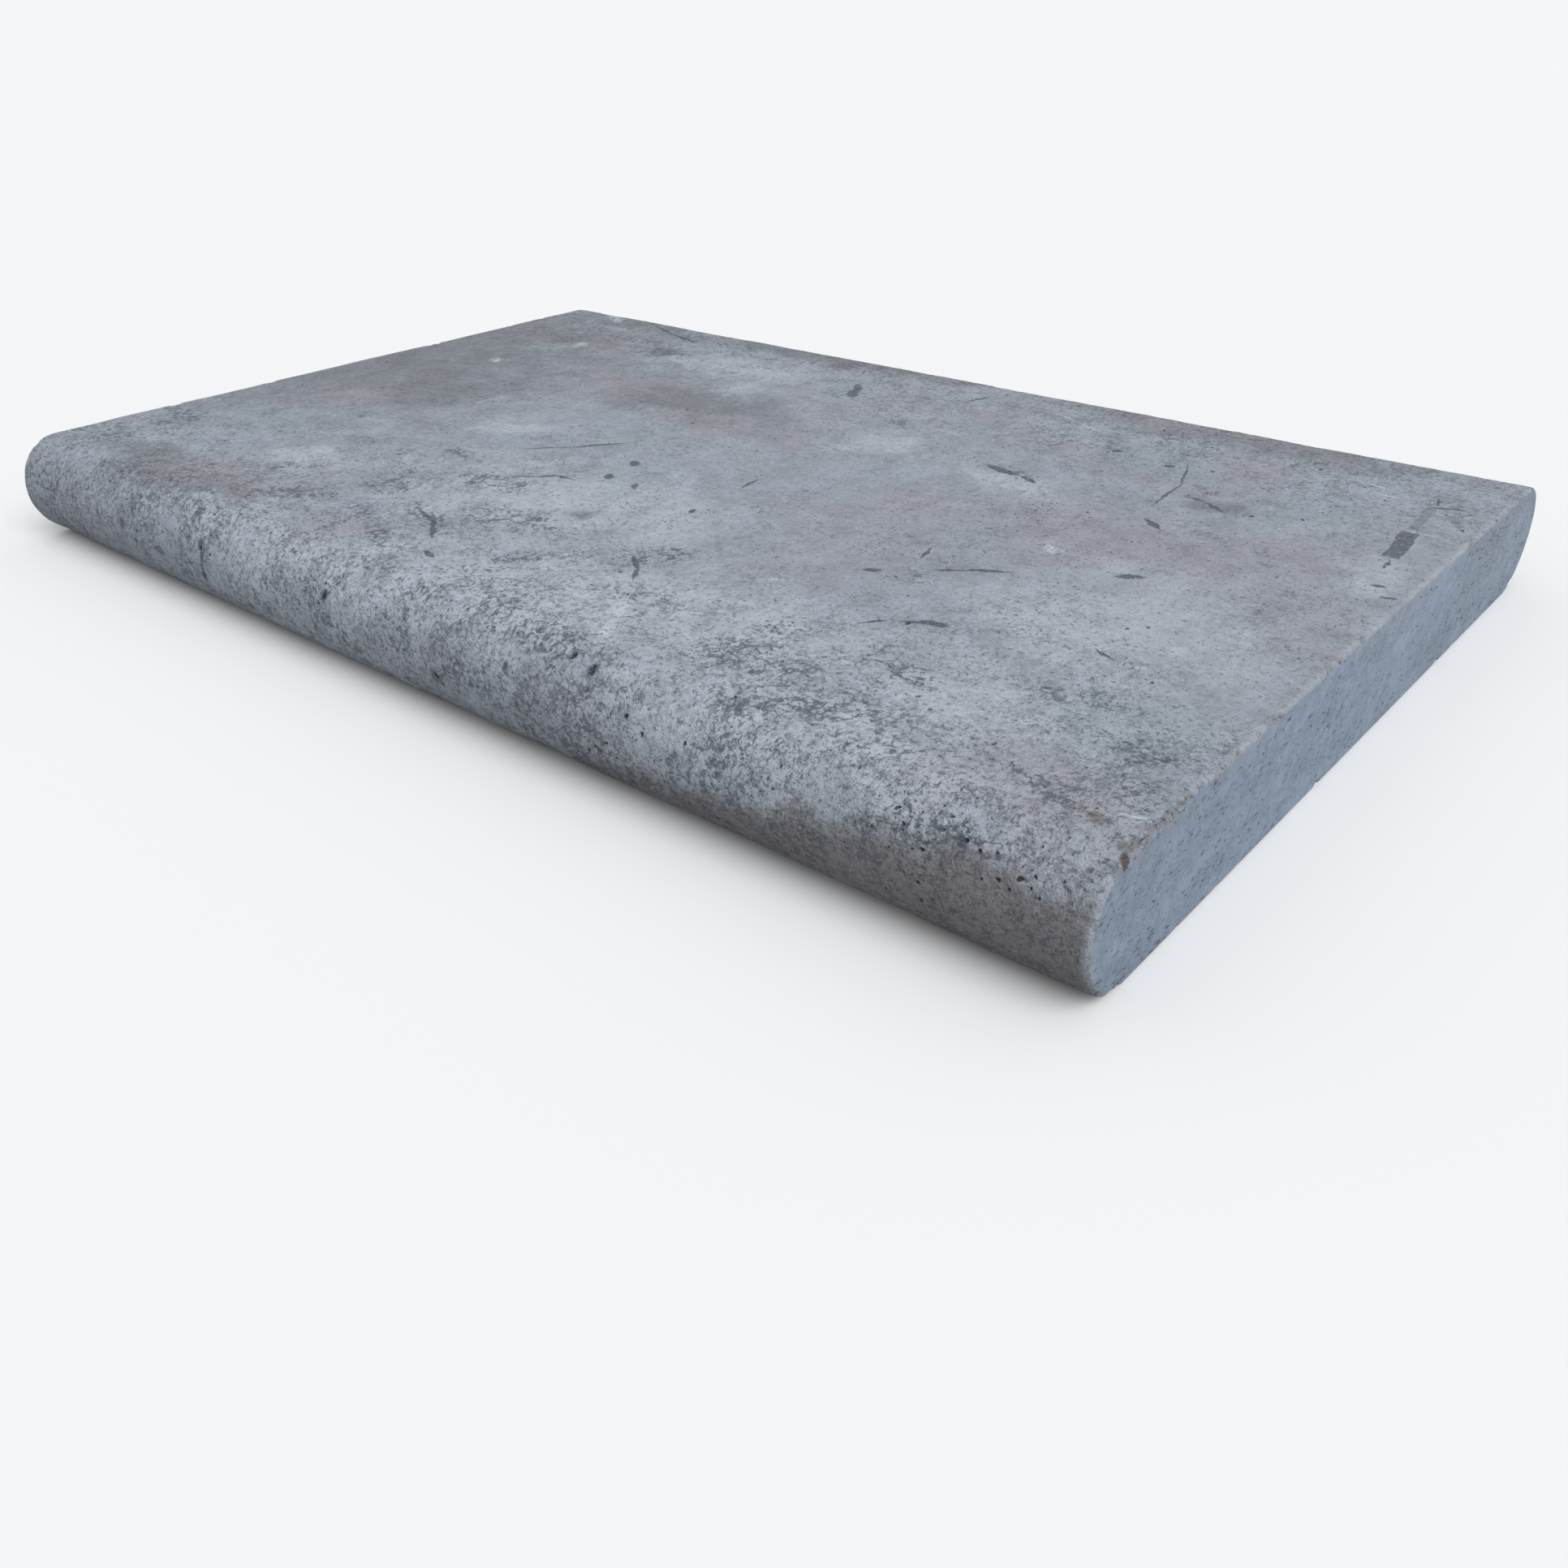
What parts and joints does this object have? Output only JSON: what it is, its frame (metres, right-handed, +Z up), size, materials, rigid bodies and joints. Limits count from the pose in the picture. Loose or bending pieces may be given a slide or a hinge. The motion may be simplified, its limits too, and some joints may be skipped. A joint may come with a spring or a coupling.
{
  "type": "travertine bullnose coping",
  "caption": "Grey travertine coping slab, flat on top and below, both long edges ground to a round bullnose and both short ends sawn square.",
  "frame": {"origin": "the middle of the underside, the bed face that is laid in mortar", "axes": "+X along the slab's length, from sawn end to sawn end; +Y across it, from nose to nose; +Z up out of the top face"},
  "size_m": [0.61, 0.406, 0.05],
  "materials": {
    "travertine": "matte"
  },
  "bodies": {
    "root": {"coping_slab": "travertine"}
  },
  "joints": []
}
